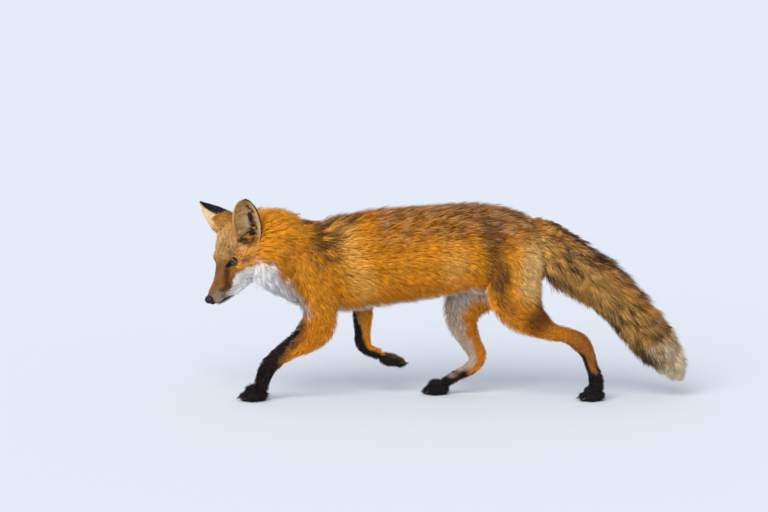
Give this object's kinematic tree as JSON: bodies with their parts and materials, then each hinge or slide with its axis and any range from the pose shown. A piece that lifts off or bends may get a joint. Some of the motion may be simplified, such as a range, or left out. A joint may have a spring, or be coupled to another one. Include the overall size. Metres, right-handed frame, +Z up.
{
  "type": "red fox model",
  "caption": "Still, life-size model of a red fox in winter coat, walking with its head low, one forefoot raised and its brush trailing.",
  "frame": {"origin": "on the floor, under the middle of the bounding box", "axes": "+Z up; the fox faces -X, and its left side is towards -Y"},
  "size_m": [0.9749, 0.1534, 0.412],
  "materials": {
    "coat_orange": "fur",
    "coat_grizzled": "short fur",
    "coat_white": "fur",
    "coat_cream": "fur",
    "coat_black": "short fur",
    "nose_skin": "moist and pebbled",
    "eye": "wet"
  },
  "bodies": {
    "root": {"trunk": "coat_orange", "neck": "coat_orange", "head": "coat_grizzled", "muzzle": "coat_grizzled", "lower_jaw": "coat_white", "nose": "nose_skin", "eye_left": "eye", "eye_right": "eye", "ear_left": "coat_black", "ear_right": "coat_black", "tail_base": "coat_orange", "tail_brush": "coat_orange", "tail_tip": "coat_cream", "foreleg_left_upper_arm": "coat_orange", "foreleg_left_forearm": "coat_orange", "foreleg_left_paw": "coat_black", "foreleg_right_upper_arm": "coat_orange", "foreleg_right_forearm": "coat_orange", "foreleg_right_paw": "coat_black", "hindleg_left_thigh": "coat_orange", "hindleg_left_shank": "coat_orange", "hindleg_left_metatarsus": "coat_orange", "hindleg_left_paw": "coat_black", "hindleg_right_thigh": "coat_orange", "hindleg_right_shank": "coat_orange", "hindleg_right_metatarsus": "coat_orange", "hindleg_right_paw": "coat_black"}
  },
  "joints": []
}
